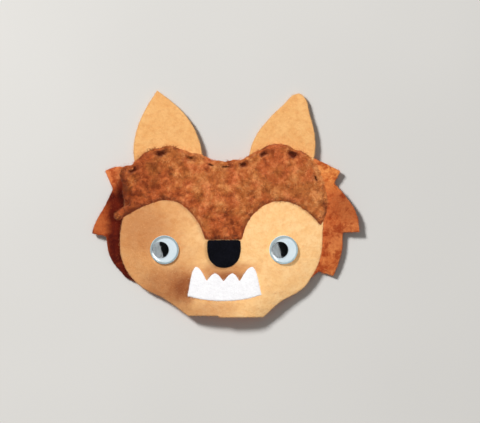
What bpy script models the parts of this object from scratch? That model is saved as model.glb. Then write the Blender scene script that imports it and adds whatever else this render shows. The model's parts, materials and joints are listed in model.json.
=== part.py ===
"""Felt wolf puppet head, lying face up on a table.

The head is a pocket: a flat brown back and a crowned tan face are sewn together along
the top, and the chin stays open for the fingers. The ears are caught in that seam, and a
thick brown hair piece covers it. Nose and teeth are cut from felt, and each craft eye is
a white backing, a loose black pupil and a clear cover.

Units are metres, +Z is out of the face, +Y is towards the ears, and the origin is on the
underside of the back. "left" and "right" are those of someone looking at the face.
"""

import bmesh
import bpy
from math import ceil, cos, floor, pi, sin, sqrt
from mathutils import Matrix, Vector

MM = 0.001

# Felt sheets and the gap between neighbours
GAP = 0.3 * MM
HAIR_GAP = 0.4 * MM
BACK_THICKNESS = 2.0 * MM
EAR_THICKNESS = 1.6 * MM
FACE_THICKNESS = 2.0 * MM
HAIR_THICKNESS = 3.0 * MM
NOSE_THICKNESS = 2.0 * MM
TEETH_THICKNESS = 1.6 * MM

# Crowned front: how far it stands off the back, and how wide the pocket is
CHIN_Y = -71.0 * MM
POCKET_HALF_WIDTH = 66.0 * MM
CHIN_HALF_WIDTH = 25.0 * MM
TAPER_START_Y = -22.0 * MM
TAPER_POWER = 1.7
CROWN_HEIGHT = 6.0 * MM
CROWN_TOP_Y = -35.0 * MM
CROWN_END_Y = 33.0 * MM
CROWN_FLATNESS = 3.5
CHIN_DROP = 0.1
RIM_SOFTNESS = 0.15
EAR_RISE_FROM_Y = -6.0 * MM
EAR_RISE_TO_Y = 20.0 * MM
EAR_RISE_FROM_X = 1.0 * MM
EAR_RISE_TO_X = 14.0 * MM
RIM_Z = BACK_THICKNESS + GAP
OVER_EAR_Z = RIM_Z + EAR_THICKNESS + GAP

# Craft eyes: 18 mm capsules with a loose 10 mm pupil
EYE_RADIUS = 9.0 * MM
EYE_SPREAD = 37.2 * MM
EYE_Y = -28.8 * MM
EYE_SEAT_GAP = 0.5 * MM
BACKING_THICKNESS = 0.8 * MM
COVER_WALL = 0.5 * MM
COVER_INNER_RADIUS = 7.8 * MM
COVER_WALL_HEIGHT = 1.5 * MM
COVER_DOME_HEIGHT = 1.6 * MM
FLANGE_THICKNESS = 0.6 * MM
PUPIL_RADIUS = 5.1 * MM
PUPIL_THICKNESS = 0.8 * MM
PUPIL_OFFSET = 2.3 * MM
EDGE_BEVEL = 0.15 * MM
TURNED_STEPS = 36
DOME_STEPS = 4

# Seam thread: each hand stitch is one loop through the felt layers
THREAD_RADIUS = 0.45 * MM
STITCH_HALF_LENGTH = 2.4 * MM
STITCH_CORNER = 0.9 * MM
STITCH_UNDER_Z = 0.55 * MM
STITCH_SINK = 0.15 * MM
STITCH_INSET = 3.6 * MM
STITCH_X = [x * MM for x in (-57.1, -39.8, -21.0, -8.5, 1.3, 11.9, 24.5, 43.3, 57.2)]
CORNER_POINTS = 3

# Meshing
CURVE_STEPS = 4
SHEET_CELL = 5.0 * MM
TRIM_CELL = 5.0 * MM
SMOOTH_ANGLE = 40 * pi / 180

# Outlines in millimetres, clockwise. "c" is a cut corner and "r" a point that the
# scissors pass in a smooth curve.
BACK_OUTLINE = (
    (-67.0, 23.2, "r"), (-60.0, 23.0, "r"), (-48.0, 30.5, "r"), (-35.0, 35.2, "r"),
    (-17.0, 30.3, "r"), (0.5, 25.5, "r"), (17.0, 29.5, "r"), (32.5, 36.4, "r"),
    (46.0, 32.2, "r"), (57.0, 28.2, "r"), (72.7, 20.4, "c"), (69.0, 12.8, "c"),
    (77.5, 2.8, "r"), (83.2, -7.0, "r"), (84.8, -17.4, "c"), (74.4, -17.9, "c"),
    (73.6, -30.5, "r"), (68.6, -45.1, "c"), (59.3, -42.3, "c"), (46.5, -52.4, "r"),
    (34.0, -60.0, "r"), (23.6, -69.6, "c"), (-21.6, -69.2, "c"), (-37.4, -57.6, "r"),
    (-46.4, -53.2, "r"), (-61.4, -46.4, "c"), (-71.3, -33.5, "r"), (-73.9, -20.2, "c"),
    (-82.8, -18.5, "c"), (-80.4, -11.5, "r"), (-75.0, -2.0, "r"), (-69.6, 9.2, "c"),
    (-74.6, 20.9, "c"),
)
FACE_OUTLINE = (
    (-60.5, 18.5, "r"), (-48.5, 30.2, "r"), (-35.0, 34.8, "r"), (-17.0, 29.8, "r"),
    (0.5, 25.0, "r"), (17.0, 29.0, "r"), (32.5, 36.0, "r"), (46.0, 32.0, "r"),
    (56.0, 22.0, "r"), (61.0, 4.0, "r"), (61.6, -20.7, "r"), (60.2, -33.6, "r"),
    (55.8, -43.9, "r"), (48.9, -53.3, "r"), (35.1, -61.4, "r"), (24.6, -71.0, "c"),
    (-3.0, -71.0, "c"), (-3.4, -70.1, "c"), (-22.4, -70.1, "c"), (-38.2, -58.9, "r"),
    (-47.7, -54.5, "r"), (-55.5, -48.7, "r"), (-62.7, -38.2, "r"), (-65.3, -24.5, "r"),
    (-62.6, -4.0, "r"),
)
HAIR_TOP = (
    (-63.5, 22.4, "r"), (-56.4, 25.8, "r"), (-49.0, 32.0, "r"), (-35.5, 36.2, "r"),
    (-25.0, 33.4, "r"), (-16.3, 31.4, "r"), (-5.0, 27.2, "r"), (5.6, 27.3, "r"),
    (15.5, 30.0, "r"), (23.2, 34.8, "r"), (32.8, 37.3, "r"), (43.0, 35.4, "r"),
    (53.3, 29.3, "r"), (59.5, 21.0, "r"),
)
HAIR_UNDER = (
    (63.8, 5.6, "r"), (64.2, -5.0, "r"), (60.6, -13.2, "c"), (53.3, -5.6, "r"),
    (44.6, -0.1, "r"), (36.1, 1.9, "r"), (28.0, 0.6, "r"), (19.4, -5.2, "r"),
    (13.8, -13.2, "r"), (11.0, -22.3, "c"), (-11.6, -22.3, "c"), (-14.8, -13.8, "r"),
    (-20.2, -6.0, "r"), (-28.0, 0.6, "r"), (-36.4, 2.5, "r"), (-45.5, 0.6, "r"),
    (-54.5, -3.4, "r"), (-61.4, -7.2, "r"), (-66.6, -10.0, "r"), (-69.0, -8.2, "r"),
    (-67.4, -5.2, "r"), (-62.0, -2.2, "r"), (-56.6, 1.4, "c"), (-61.0, 1.6, "r"),
    (-63.2, 6.0, "r"), (-63.2, 12.5, "r"), (-65.0, 17.5, "r"),
)
EAR_LEFT_OUTLINE = (
    (-42.0, 70.9, "c"), (-30.1, 61.4, "r"), (-21.9, 52.0, "r"), (-16.4, 41.0, "r"),
    (-14.2, 31.0, "r"), (-15.2, 23.0, "c"), (-54.4, 20.5, "c"), (-56.4, 29.0, "r"),
    (-55.9, 41.0, "r"), (-50.6, 56.6, "r"),
)
EAR_RIGHT_OUTLINE = (
    (45.8, 69.0, "r"), (49.6, 67.6, "r"), (53.6, 55.8, "r"), (56.6, 43.5, "r"),
    (56.4, 30.0, "r"), (53.0, 20.5, "c"), (15.2, 23.0, "c"), (16.4, 32.6, "r"),
    (20.8, 43.6, "r"), (28.2, 53.0, "r"), (37.6, 62.2, "r"),
)
NOSE_OUTLINE = (
    (-9.4, -22.9, "c"), (9.4, -22.9, "c"), (10.1, -23.8, "c"), (10.1, -30.2, "r"),
    (7.2, -36.9, "r"), (0.0, -39.9, "r"), (-7.2, -36.9, "r"), (-10.1, -30.2, "r"),
    (-10.1, -23.8, "c"),
)
TEETH_OUTLINE = (
    (-18.0, -39.9, "r"), (-16.4, -40.1, "r"), (-10.9, -48.6, "c"), (-6.2, -43.9, "r"),
    (-5.0, -43.9, "r"), (-0.3, -48.9, "c"), (4.6, -43.9, "r"), (5.8, -43.9, "r"),
    (9.7, -48.9, "c"), (16.5, -39.9, "r"), (18.2, -39.9, "r"), (23.2, -56.8, "c"),
    (12.0, -59.6, "r"), (0.0, -60.5, "r"), (-12.0, -59.8, "r"), (-22.6, -57.6, "c"),
)

# Name, colour, roughness and metallic value of each material
MATERIALS = {
    "brown_felt": ((0.33, 0.10, 0.030), 0.95, 0.0),
    "brown_fur_felt": ((0.42, 0.13, 0.035), 0.95, 0.0),
    "tan_felt": ((0.80, 0.45, 0.18), 0.95, 0.0),
    "black_felt": ((0.010, 0.009, 0.013), 0.90, 0.0),
    "white_felt": ((0.93, 0.93, 0.93), 0.85, 0.0),
    "brown_thread": ((0.16, 0.045, 0.015), 0.70, 0.0),
    "white_plastic": ((0.80, 0.87, 0.90), 0.35, 0.0),
    "black_plastic": ((0.008, 0.008, 0.009), 0.25, 0.0),
    "clear_plastic": ((0.85, 0.95, 1.00), 0.05, 0.0),
}


def clear_scene():
    for obj in list(bpy.data.objects):
        bpy.data.objects.remove(obj, do_unlink=True)


def new_collection(name):
    collection = bpy.data.collections.new(name)
    bpy.context.scene.collection.children.link(collection)
    return collection


def make_materials():
    made = {}
    for name, (colour, roughness, metallic) in MATERIALS.items():
        material = bpy.data.materials.new(name)
        material.use_nodes = True
        shader = material.node_tree.nodes["Principled BSDF"]
        shader.inputs["Base Color"].default_value = (*colour, 1.0)
        shader.inputs["Roughness"].default_value = roughness
        shader.inputs["Metallic"].default_value = metallic
        material.diffuse_color = (*colour, 1.0)
        made[name] = material
    made["clear_plastic"].node_tree.nodes["Principled BSDF"].inputs["Alpha"].default_value = 0.25
    return made


def smoothstep(value):
    value = min(max(value, 0.0), 1.0)
    return value * value * (3 - 2 * value)


def pocket_half_width(y):
    """Half the pocket's width at a height on the face: full above, tapering to the chin."""
    drop = max(0.0, (TAPER_START_Y - y) / (TAPER_START_Y - CHIN_Y))
    return POCKET_HALF_WIDTH - (POCKET_HALF_WIDTH - CHIN_HALF_WIDTH) * drop**TAPER_POWER


def crown(y):
    """Height of the front's crown along the centreline."""
    if y < CROWN_TOP_Y:
        along = (CROWN_TOP_Y - y) / (CROWN_TOP_Y - CHIN_Y)
        return CROWN_HEIGHT * (1 - CHIN_DROP * along**2)
    along = min(1.0, (y - CROWN_TOP_Y) / (CROWN_END_Y - CROWN_TOP_Y))
    return CROWN_HEIGHT * cos(along * pi / 2)


def face_underside(x, y):
    """Height of the face sheet's underside over the point (x, y)."""
    rise = smoothstep((y - EAR_RISE_FROM_Y) / (EAR_RISE_TO_Y - EAR_RISE_FROM_Y))
    rise *= smoothstep((abs(x) - EAR_RISE_FROM_X) / (EAR_RISE_TO_X - EAR_RISE_FROM_X))
    rim = RIM_Z + (OVER_EAR_Z - RIM_Z) * rise
    inside = 1 - abs(x / pocket_half_width(y)) ** CROWN_FLATNESS
    pillow = (inside + sqrt(inside**2 + RIM_SOFTNESS**2)) / 2
    return rim + crown(y) * pillow


def face_top(x, y):
    return face_underside(x, y) + FACE_THICKNESS


def hair_top(x, y):
    return face_top(x, y) + HAIR_GAP + HAIR_THICKNESS


def add_outline_curve(name, outline, half_height, closed=True):
    """A flat 2D curve through the outline's points, extruded both ways."""
    data = bpy.data.curves.new(name, "CURVE")
    data.dimensions = "2D"
    data.fill_mode = "BOTH" if closed else "NONE"
    data.extrude = half_height
    data.resolution_u = CURVE_STEPS
    spline = data.splines.new("BEZIER")
    spline.use_cyclic_u = closed
    spline.bezier_points.add(len(outline) - 1)
    for point, (x, y, kind) in zip(spline.bezier_points, outline):
        point.co = (x * MM, y * MM, 0)
        handle = "AUTO" if kind == "r" else "VECTOR"
        point.handle_left_type = handle
        point.handle_right_type = handle
    obj = bpy.data.objects.new(name, data)
    bpy.context.scene.collection.objects.link(obj)
    return obj


def mesh_of(obj):
    """The object's evaluated mesh, with its loose caps welded and in world coordinates."""
    graph = bpy.context.evaluated_depsgraph_get()
    mesh = bpy.data.meshes.new_from_object(obj.evaluated_get(graph), depsgraph=graph)
    mesh.transform(obj.matrix_world)
    work = bmesh.new()
    work.from_mesh(mesh)
    bmesh.ops.remove_doubles(work, verts=work.verts, dist=0.001 * MM)
    work.to_mesh(mesh)
    work.free()
    return mesh


def finish(name, mesh, material, collection):
    """A mesh object with one material, shaded smooth except at its cut edges."""
    mesh.name = name
    mesh.materials.clear()
    mesh.materials.append(material)
    mesh.shade_smooth()
    mesh.set_sharp_from_angle(angle=SMOOTH_ANGLE)
    obj = bpy.data.objects.new(name, mesh)
    collection.objects.link(obj)
    return obj


def flat_sheet(name, outline, bottom, thickness, material, collection):
    """A sheet of felt cut to the outline and lying level."""
    curve = add_outline_curve(name, outline, thickness / 2)
    curve.location.z = bottom + thickness / 2
    bpy.context.view_layer.update()
    mesh = mesh_of(curve)
    bpy.data.objects.remove(curve)
    return finish(name, mesh, material, collection)


def crowned_sheet(name, outline, underside, thickness, cell, material, collection):
    """A sheet of felt cut to the outline and laid over the height function underside."""
    reach_x = cell * ceil(max(abs(x) for x, _, _ in outline) * MM / cell + 1)
    low_y = cell * floor(min(y for _, y, _ in outline) * MM / cell - 1)
    high_y = cell * ceil(max(y for _, y, _ in outline) * MM / cell + 1)
    columns = round(2 * reach_x / cell)
    rows = round((high_y - low_y) / cell)
    bpy.ops.mesh.primitive_grid_add(x_subdivisions=columns, y_subdivisions=rows, size=2)
    slab = bpy.context.object
    for vertex in slab.data.vertices:
        vertex.co.x *= reach_x
        vertex.co.y = (low_y + high_y) / 2 + vertex.co.y * (high_y - low_y) / 2
    sheet = slab.modifiers.new("Thickness", "SOLIDIFY")
    sheet.thickness = thickness
    sheet.offset = 1.0

    cutter = add_outline_curve(name + "_cut", outline, 2 * thickness)
    bpy.context.view_layer.update()
    prism = bpy.data.objects.new(name + "_prism", mesh_of(cutter))
    bpy.context.scene.collection.objects.link(prism)
    trim = slab.modifiers.new("Cut to shape", "BOOLEAN")
    trim.operation = "INTERSECT"
    trim.object = prism
    mesh = mesh_of(slab)
    for helper in (slab, cutter, prism):
        bpy.data.objects.remove(helper)
    work = bmesh.new()
    work.from_mesh(mesh)
    bmesh.ops.triangulate(work, faces=work.faces)
    for vertex in work.verts:
        vertex.co.z += underside(vertex.co.x, vertex.co.y)
    work.to_mesh(mesh)
    work.free()
    return finish(name, mesh, material, collection)


def seam_places():
    """(point, direction) of each hand stitch on the seam, inside the hair's top edge."""
    guide = add_outline_curve("seam_guide", HAIR_TOP + HAIR_UNDER[:1], 0, closed=False)
    bpy.context.view_layer.update()
    line = [vertex.co.copy() for vertex in mesh_of(guide).vertices]
    bpy.data.objects.remove(guide)
    seam = []
    for here, after in zip(line, line[1:]):
        direction = (after - here).normalized()
        inward = Vector((direction.y, -direction.x, 0))
        seam.append(((here + after) / 2 + inward * STITCH_INSET, direction))
    places = []
    for x in STITCH_X:
        k = max(i for i, (spot, _) in enumerate(seam[:-1]) if spot.x <= x)
        (here, start), (after, end) = seam[k], seam[k + 1]
        part = (x - here.x) / (after.x - here.x)
        places.append((here.lerp(after, part), start.lerp(end, part).normalized()))
    return places


def add_loop(name, place, direction, radius):
    """A closed rounded loop of thread standing in the plane of the seam's direction."""
    top = hair_top(place.x, place.y) - STITCH_SINK
    middle = (top + STITCH_UNDER_Z) / 2
    reach = (top - STITCH_UNDER_Z) / 2 - STITCH_CORNER
    data = bpy.data.curves.new(name, "CURVE")
    data.dimensions = "3D"
    data.bevel_depth = radius
    data.bevel_resolution = 1
    spline = data.splines.new("POLY")
    spline.use_cyclic_u = True
    spline.points.add(4 * CORNER_POINTS - 1)
    for i, point in enumerate(spline.points):
        corner, step = divmod(i, CORNER_POINTS)
        angle = (corner + step / (CORNER_POINTS - 1)) * pi / 2
        side = 1 if corner in (0, 3) else -1
        end = 1 if corner in (0, 1) else -1
        along = side * (STITCH_HALF_LENGTH - STITCH_CORNER) + STITCH_CORNER * cos(angle)
        spot = place + direction * along
        point.co = (spot.x, spot.y, middle + end * reach + STITCH_CORNER * sin(angle), 1)
    obj = bpy.data.objects.new(name, data)
    bpy.context.scene.collection.objects.link(obj)
    return obj


def add_stitches(layers, material, collection, cutters):
    """Thread loops through the seam, with a clearance hole for each in every layer."""
    for i, (place, direction) in enumerate(seam_places(), start=1):
        thread = add_loop(f"stitch_{i}", place, direction, THREAD_RADIUS)
        around = add_loop(f"around_{i}", place, direction, THREAD_RADIUS + GAP)
        bpy.context.view_layer.update()
        finish(f"seam_stitch_{i:02d}", mesh_of(thread), material, collection)
        hole = finish(f"stitch_hole_{i:02d}", mesh_of(around), material, cutters)
        hole.hide_render = True
        hole.display_type = "WIRE"
        bpy.data.objects.remove(thread)
        bpy.data.objects.remove(around)
    for layer in layers:
        cut = layer.modifiers.new("Stitch holes", "BOOLEAN")
        cut.operation = "DIFFERENCE"
        cut.operand_type = "COLLECTION"
        cut.collection = cutters


def turned(name, profile, frame, material, collection):
    """A profile of (radius, height) points turned about its own vertical axis."""
    mesh = bpy.data.meshes.new(name)
    edges = [(i, i + 1) for i in range(len(profile) - 1)]
    mesh.from_pydata([(radius, 0, height) for radius, height in profile], edges, [])
    mesh.materials.append(material)
    obj = bpy.data.objects.new(name, mesh)
    obj.parent = frame
    collection.objects.link(obj)
    screw = obj.modifiers.new("Turn", "SCREW")
    screw.steps = TURNED_STEPS
    screw.render_steps = TURNED_STEPS
    screw.use_merge_vertices = True
    screw.merge_threshold = 0.01 * MM
    screw.use_smooth_shade = True
    return obj


def disc_profile(radius, low, high):
    """Half section of a disc with small bevelled edges, from the top centre down."""
    return (
        (0, high), (radius - EDGE_BEVEL, high), (radius, high - EDGE_BEVEL),
        (radius, low + EDGE_BEVEL), (radius - EDGE_BEVEL, low), (0, low),
    )


def cover_profile(base):
    """Half section of the clear cover: a dome, a short wall and a flat flange."""
    shoulder = base + COVER_WALL_HEIGHT
    outer_radius = COVER_INNER_RADIUS + COVER_WALL
    outside = []
    inside = []
    for i in range(DOME_STEPS + 1):
        angle = pi / 2 * i / DOME_STEPS
        reach = max(0.0, cos(angle)) if i < DOME_STEPS else 0.0
        outside.insert(0, (outer_radius * reach, shoulder + (COVER_DOME_HEIGHT + COVER_WALL) * sin(angle)))
        inside.append((COVER_INNER_RADIUS * reach, shoulder + COVER_DOME_HEIGHT * sin(angle)))
    flange = [
        (outer_radius, base + FLANGE_THICKNESS), (EYE_RADIUS, base + FLANGE_THICKNESS),
        (EYE_RADIUS, base), (COVER_INNER_RADIUS, base),
    ]
    return outside + flange + inside


def add_eye(side, x, materials, collection):
    """A craft eye seated square on the crowned felt, round an empty on its axis."""
    slope_x = (face_top(x + MM, EYE_Y) - face_top(x - MM, EYE_Y)) / (2 * MM)
    slope_y = (face_top(x, EYE_Y + MM) - face_top(x, EYE_Y - MM)) / (2 * MM)
    up = Vector((-slope_x, -slope_y, 1)).normalized()
    across = Vector((1, 0, slope_x)).normalized()
    seat = Vector((x, EYE_Y, face_top(x, EYE_Y))) + up * EYE_SEAT_GAP
    turn = Matrix((across, up.cross(across), up)).transposed()
    frame = bpy.data.objects.new(f"eye_{side}_axis", None)
    frame.matrix_world = Matrix.Translation(seat) @ turn.to_4x4()
    collection.objects.link(frame)

    base = BACKING_THICKNESS + GAP
    backing = disc_profile(EYE_RADIUS, 0, BACKING_THICKNESS)
    turned(f"eye_{side}_backing", backing, frame, materials["white_plastic"], collection)
    turned(f"eye_{side}_cover", cover_profile(base), frame, materials["clear_plastic"], collection)
    disc = disc_profile(PUPIL_RADIUS, base, base + PUPIL_THICKNESS)
    pupil = turned(f"eye_{side}_pupil", disc, frame, materials["black_plastic"], collection)
    pupil.location.x = -PUPIL_OFFSET


def build():
    clear_scene()
    materials = make_materials()
    puppet = new_collection("wolf_puppet_head")
    cutters = new_collection("stitch_holes")
    cutters.hide_render = True

    back = flat_sheet("back_of_head", BACK_OUTLINE, 0, BACK_THICKNESS, materials["brown_felt"], puppet)
    ears = [
        flat_sheet("ear_left", EAR_LEFT_OUTLINE, RIM_Z, EAR_THICKNESS, materials["tan_felt"], puppet),
        flat_sheet("ear_right", EAR_RIGHT_OUTLINE, RIM_Z, EAR_THICKNESS, materials["tan_felt"], puppet),
    ]
    face = crowned_sheet(
        "face", FACE_OUTLINE, face_underside, FACE_THICKNESS, SHEET_CELL, materials["tan_felt"], puppet
    )
    hair = crowned_sheet(
        "hair", HAIR_TOP + HAIR_UNDER, lambda x, y: face_top(x, y) + HAIR_GAP, HAIR_THICKNESS,
        SHEET_CELL, materials["brown_fur_felt"], puppet,
    )
    crowned_sheet(
        "nose", NOSE_OUTLINE, lambda x, y: face_top(x, y) + GAP, NOSE_THICKNESS,
        TRIM_CELL, materials["black_felt"], puppet,
    )
    crowned_sheet(
        "teeth", TEETH_OUTLINE, lambda x, y: face_top(x, y) + GAP, TEETH_THICKNESS,
        TRIM_CELL, materials["white_felt"], puppet,
    )
    add_stitches([back, *ears, face, hair], materials["brown_thread"], puppet, cutters)
    for side, x in (("left", -EYE_SPREAD), ("right", EYE_SPREAD)):
        add_eye(side, x, materials, puppet)


build()
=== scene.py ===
"""Looks of the felt wolf puppet head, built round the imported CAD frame.

Each felt piece is the CAD solid's own shape, remeshed fine, softened at its cut edges and
given the small waves, lumps and loose fibres of craft felt. The hair is a thick brushed
felt with its own pile, pulled down into dimples by the seam's thread. The craft eyes are
turned again with smooth domes. All lengths are in metres.
"""

import json
import math

import bmesh
import bpy
import numpy as np
from mathutils import Matrix, Vector, kdtree, noise


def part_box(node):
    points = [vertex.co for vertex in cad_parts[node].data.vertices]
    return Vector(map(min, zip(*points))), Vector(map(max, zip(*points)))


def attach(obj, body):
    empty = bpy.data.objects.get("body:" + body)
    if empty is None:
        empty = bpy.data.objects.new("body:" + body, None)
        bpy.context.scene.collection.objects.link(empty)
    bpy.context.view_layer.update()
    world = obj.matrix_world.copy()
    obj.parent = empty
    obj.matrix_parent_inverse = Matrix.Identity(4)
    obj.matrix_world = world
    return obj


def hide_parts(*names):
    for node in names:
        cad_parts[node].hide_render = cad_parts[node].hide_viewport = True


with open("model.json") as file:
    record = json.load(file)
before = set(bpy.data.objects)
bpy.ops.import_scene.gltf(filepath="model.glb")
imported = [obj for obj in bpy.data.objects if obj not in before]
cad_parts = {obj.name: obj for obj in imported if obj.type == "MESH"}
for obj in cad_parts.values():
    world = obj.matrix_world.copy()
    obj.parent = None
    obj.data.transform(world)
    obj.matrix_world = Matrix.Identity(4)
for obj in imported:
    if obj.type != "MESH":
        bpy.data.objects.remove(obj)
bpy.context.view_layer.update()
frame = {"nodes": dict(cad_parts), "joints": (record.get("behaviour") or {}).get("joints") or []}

MM = 0.001
HEAD = "head"
NODES = frame["nodes"]
STITCHES = sorted(name for name in NODES if name.startswith("seam_stitch"))
SIDES = ("left", "right")
LEVEL = (1, 1, 0)  # points times this lie flat on the table
SEED = 7

# Felt: fineness of each remeshed piece, and how far the surface waves and roughens
SHEET_VOXEL = 0.6 * MM
HAIR_VOXEL = 0.5 * MM
TRIM_VOXEL = 0.4 * MM
WELD = 0.005 * MM
SHEET_SOFTENING = 2
FACE_SOFTENING = 6
HAIR_SOFTENING = 5
EDGE_SPREAD = 0.25 * MM
WAVE_SIZE = 14 * MM
WAVE_DEPTH = 0.25 * MM
FACE_WAVE_DEPTH = 0.15 * MM
LUMP_SIZE = 2.2 * MM
LUMP_DEPTH = 0.10 * MM
MANE_LUMP_DEPTH = 0.20 * MM
TRIM_LUMP_DEPTH = 0.06 * MM

# Felt's pattern: the sizes of its marks and fibres, and their relief
FELT_BLOTCH = 9 * MM
FELT_MOTTLE = 3.6 * MM
MANE_MOTTLE = 6 * MM
FELT_SPECK = 1.6 * MM
FELT_FIBRE = 0.7 * MM
FELT_RELIEF = 0.45 * MM
FIBRE_STRETCH = 5.0
FIBRE_TURNS = (0.3, 1.4, 2.5)
SOFT_SPECULAR = 0.2

# Ears and mane: how far the free ends bend from the level sheet
EAR_DROOP = 1.5 * MM
MANE_LIFT = 2.0 * MM
MANE_REACH = 16 * MM
MANE_CURL = 0.6
MANE_CURL_SIZE = 20 * MM

# Hair: its woolly tufts and curls, and its blotches of other browns
TUFT_SIZE = 4.2 * MM
TUFT_DEPTH = 1.1 * MM
TUFT_WARP = 1.2 * MM
TUFT_WARP_SIZE = 3.5 * MM
CURL_SIZE = 1.9 * MM
CURL_DEPTH = 0.5 * MM
BLOTCH_SIZE = 4.6 * MM
GRAIN_SIZE = 1.2 * MM
WARMTH_SIZE = 7 * MM

# Hair: its rounded border, and how far the painted shade along its lower side reaches
BORDER_REACH = 3.2 * MM
BORDER_DROP = 1.5 * MM
BORDER_SHADE_REACH = 2.6 * MM

# Hair: the dimples that the seam's stitches pull into it, each as hard as its thread was
# drawn, from left to right, and the scallops that they leave in its top edge
STITCH_PULL = (0.9, 0.95, 0.65, 0.5, 0.5, 0.95, 0.95, 1.15, 0.4)
DIMPLE_DEPTH = 2.6 * MM
DIMPLE_FLOOR = 0.5 * MM
DIMPLE_RADIUS = 2.2 * MM
DIMPLE_RUN = 0.3
DIMPLE_WARP = 1.3 * MM
DIMPLE_WARP_SIZE = 2.4 * MM
PULL_DEPTH = 1.1 * MM
PULL_RADIUS = 4.2 * MM

# Loose fibres: their taper and roots, felt's short fuzz, and the hair's pile
STRAND_RINGS = 3
STRAND_TAPER = 0.6
ROOT_DEPTH = 0.1 * MM
WALL_TILT = 0.6
FUZZ_LENGTH = (0.7 * MM, 1.8 * MM)
FUZZ_RADIUS = 0.035 * MM
FUZZ_FLOOR = 2 * MM
PILE_COUNT = 13500
PILE_LENGTH = (1.2 * MM, 3.2 * MM)
PILE_RADIUS = 0.10 * MM
PILE_ON_EDGES = 0.10
CLUMP_COUNT = 1800
HEADING_SIZE = 16 * MM

# The seed of each piece's waves and lumps, and its loose fibres: their count, seed and share
# on its cut edges
ROUGH_SEED = {"back_of_head": 1, "ear_left": 2, "ear_right": 3, "face": 5, "nose": 8, "teeth": 9}
MANE_CURL_SEED = 3
FUZZ = {
    "mane_felt": (6000, 31, 0.35), "ear_left_felt": (2600, 34, 0.35),
    "ear_right_felt": (2600, 35, 0.35), "face_felt": (7000, 36, 0.2),
    "nose_felt": (900, 37, 0.35), "teeth_felt": (1200, 38, 0.35),
}

# Hair: the noise seed of each of its features
TUFT_SEED = 11
CURL_SEED = 12
TUFT_WARP_SEEDS = (14, 15, 16)
BLOTCH_SEED = 17
CURL_TONE_SEED = 18
HEADING_SEED = 21
WARMTH_SEED = 24
DIMPLE_SEEDS = (41, 42)

# Thread: two plies, each a tube of so many sides and steps
PLY_RADIUS = 0.26 * MM
PLY_OFFSET = 0.22 * MM
PLY_STEPS = 96
PLY_SIDES = 8
THREAD_TURNS = 9
LOOP_SQUARENESS = 0.35
STITCH_SPOT = 0.8 * MM

# Craft eyes: rounded edges, how far the loose pupil's glossy top swells, and the cover's
# wall, flange and dome
BACKING_BEVEL = 0.25 * MM
PUPIL_BEVEL = 0.15 * MM
PUPIL_RISE = 0.35 * MM
COVER_WALL = 0.45 * MM
COVER_FLANGE = 1.2 * MM
COVER_RISE = 1.6 * MM
COVER_STEPS = 20
RIM_START = 0.1 * MM
COVER_IOR = 1.22
COVER_ROUGHNESS = 0.12
TOP_STEPS = 12
CORNER_STEPS = 5
TURN_STEPS = 96
SHARP_EDGE = 50

# Camera, and the stage
VIEW_WIDTH = 0.3010
VIEW_CENTRE = (0.0100, -0.0048)
VIEW_HEIGHT = 2.0
VIEW_PLANE = 0.006
SENSOR = 36.0
FLOOR_HALF = 3.0
FLOOR_DROP = 0.2 * MM
FLOOR_CLOUD = 0.25
WORLD_COLOUR = (1.0, 0.985, 0.96, 1.0)
WORLD_STRENGTH = 0.21

# Lights, in metres and watts, and the panels that show in each eye, in degrees from the
# direction in which the eye mirrors the camera
LIGHT_AIM = (0.0, -0.01, 0.0)
KEY = {"spot": (0.66, 0.24, 0.80), "size": (0.36, 0.36), "power": 4.5, "colour": (1.0, 0.985, 0.965)}
FILL = {"spot": (-0.40, 0.40, 0.93), "size": (0.10, 0.10), "power": 9.0}
FLOOR_LIGHT = {"spot": (-1.90, 1.70, 1.85), "size": (0.60, 0.60), "power": 118.0}
PANEL_REACH = 0.95
WINDOW = {
    "polar": 12, "azimuth": 180, "slant": 16, "size": (11, 25), "radiance": 47.0,
    "colour": (0.92, 0.98, 1.0),
}
GLINT = {"polar": 40, "azimuth": 217, "slant": 0, "size": (3.0, 16), "radiance": 75.0}


# -------- small helpers


def srgb(red, green, blue):
    """An 8-bit screen colour as linear values."""
    def linear(value):
        value /= 255
        return value / 12.92 if value <= 0.04045 else ((value + 0.055) / 1.055) ** 2.4
    return (linear(red), linear(green), linear(blue), 1.0)


def smooth(value):
    value = np.clip(value, 0.0, 1.0)
    return value * value * (3 - 2 * value)


def vectors_of(mesh, field):
    flat = np.empty(len(mesh.vertices) * 3, np.float32)
    mesh.vertices.foreach_get(field, flat)
    return flat.reshape(-1, 3).astype(float)


def points_of(mesh):
    return vectors_of(mesh, "co")


def normals_of(mesh):
    return vectors_of(mesh, "normal")


def set_points(mesh, points):
    mesh.vertices.foreach_set("co", np.ascontiguousarray(points, np.float32).ravel())
    mesh.update()


def lumps(points, size, seed):
    """Smooth noise from -1 to 1 with features of about one size, at each point."""
    shift = Vector((seed * 3.7, seed * 1.3, seed * 2.1))
    return np.array([noise.noise(Vector(p / size) + shift) for p in points])


def tree_of(points):
    """A search tree over points, which finds the closest one to a place."""
    tree = kdtree.KDTree(len(points))
    for i, point in enumerate(points):
        tree.insert(point, i)
    tree.balance()
    return tree


def fall_off(points, x, y, reach):
    """1 at a place on the head, falling smoothly to 0 round it."""
    return np.exp(-((points[:, 0] - x) ** 2 + (points[:, 1] - y) ** 2) / reach**2)


def add_piece(name, mesh, body, replaced=()):
    piece = bpy.data.objects.new(name, mesh)
    bpy.context.scene.collection.objects.link(piece)
    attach(piece, body)
    if replaced:
        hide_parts(*replaced)
    return piece


# -------- materials


# A Mix node lists its number and vector sockets before its colour ones
MIX_INPUTS = (0, 6, 7)
MIX_OUTPUT = 2


def set_inputs(node, values):
    for name, value in values.items():
        node.inputs[name].default_value = value


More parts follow.
